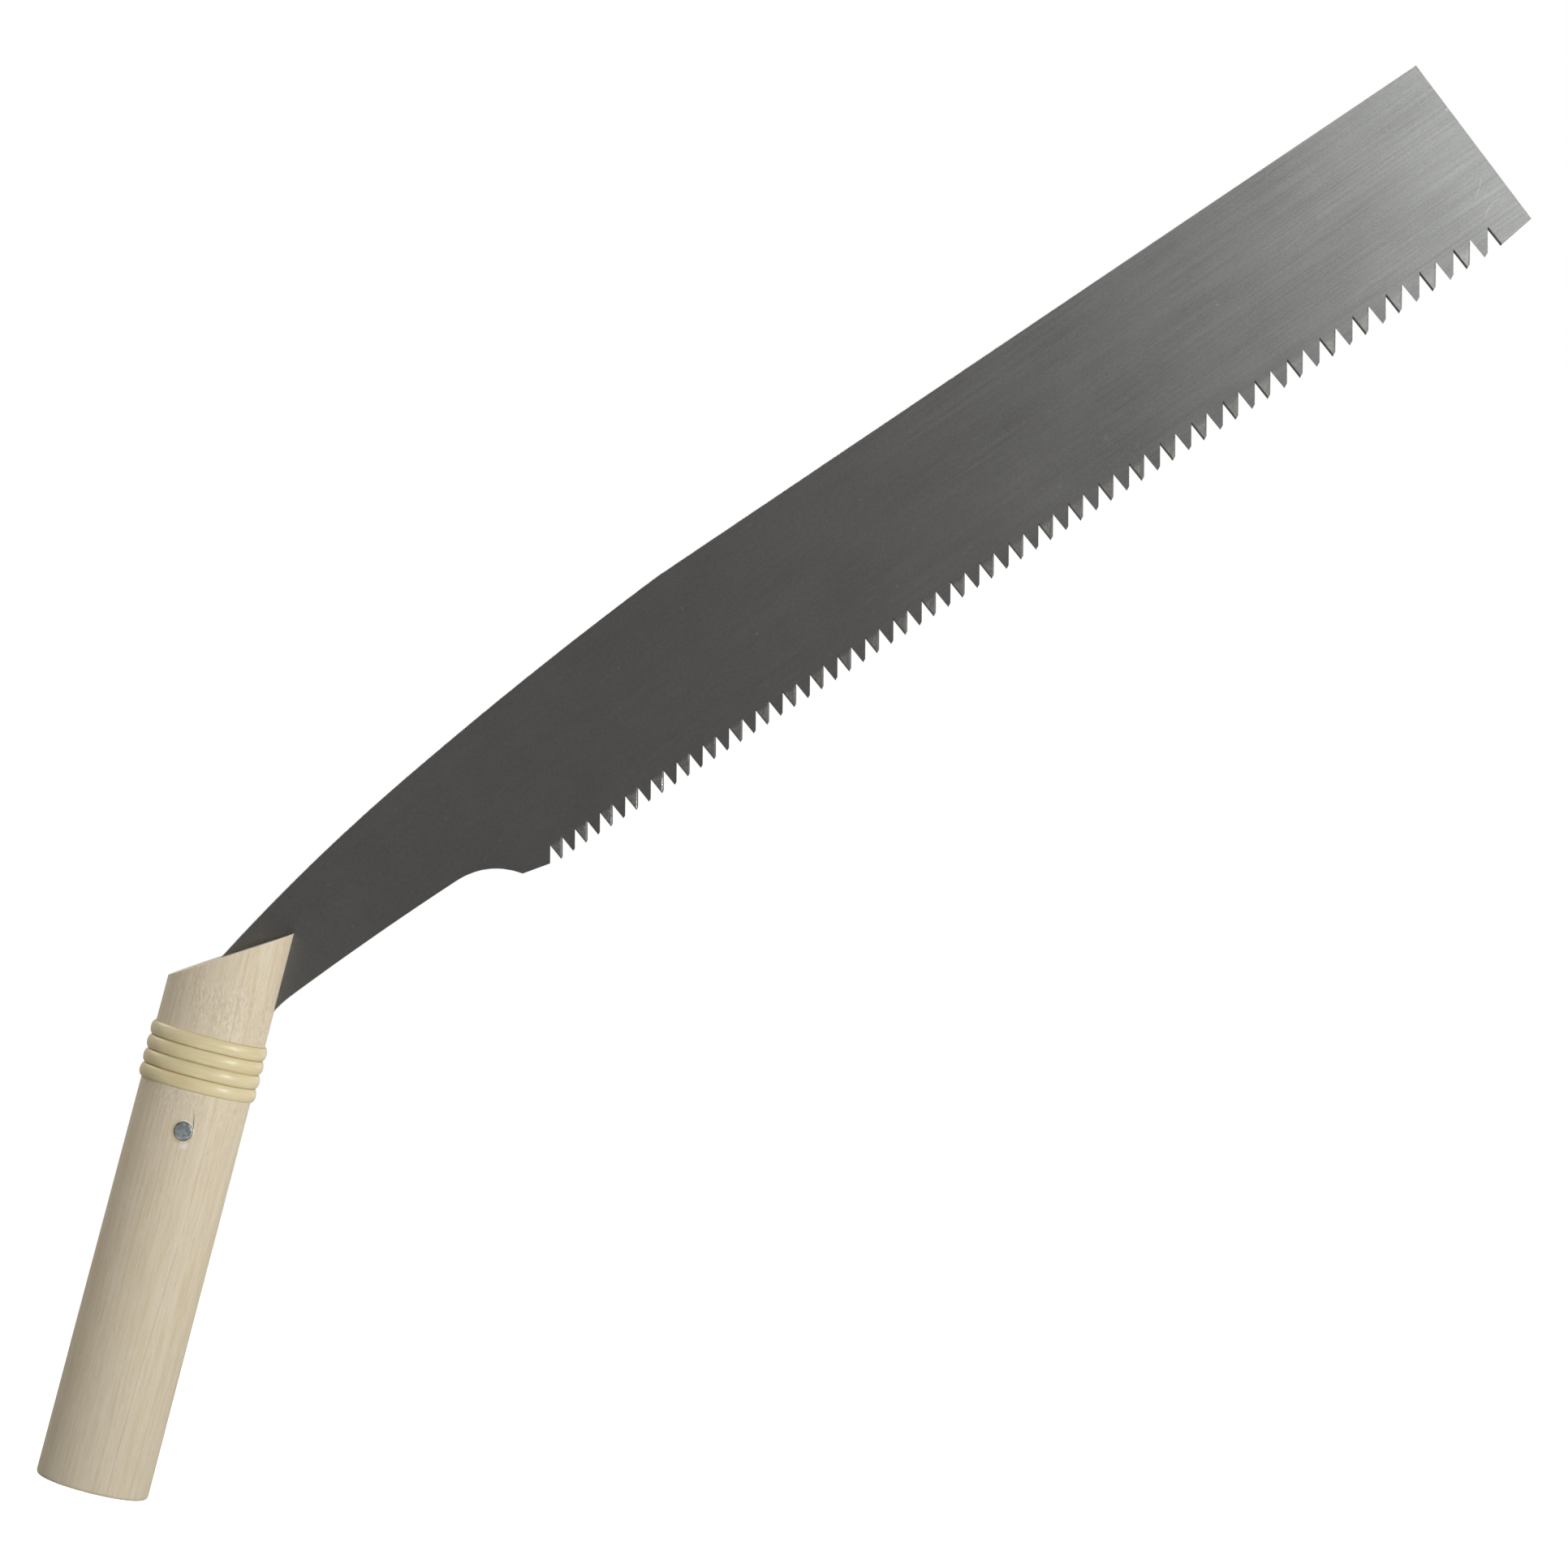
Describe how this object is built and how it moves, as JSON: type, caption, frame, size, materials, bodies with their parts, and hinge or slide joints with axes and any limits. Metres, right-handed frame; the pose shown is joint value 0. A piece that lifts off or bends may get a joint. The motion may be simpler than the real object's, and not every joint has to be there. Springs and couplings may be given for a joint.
{
  "type": "pull saw",
  "caption": "Carpenter's pull saw: a long steel blade with graded crosscut teeth, pinned into a bound oval wooden handle set at an angle.",
  "frame": {"origin": "on the handle's axis in the blade's middle plane, in the middle of the hand's grip, 55.2 mm from the butt end", "axes": "+X along the row of teeth from the handle to the toe, +Z from the teeth to the spine, +Y across the blade's thickness"},
  "size_m": [0.5793, 0.027, 0.1522],
  "materials": {
    "blade_steel": "brushed along the length, satin",
    "handle_wood": "bare planed wood, matt",
    "pin_steel": "filed flat, dull",
    "binding": "glossy"
  },
  "bodies": {
    "root": {"blade": "blade_steel", "handle_front_half": "handle_wood", "handle_back_half": "handle_wood", "tang_pin": "pin_steel", "binding_ring_1": "binding", "binding_ring_2": "binding", "binding_ring_3": "binding", "binding_ring_4": "binding"}
  },
  "joints": []
}
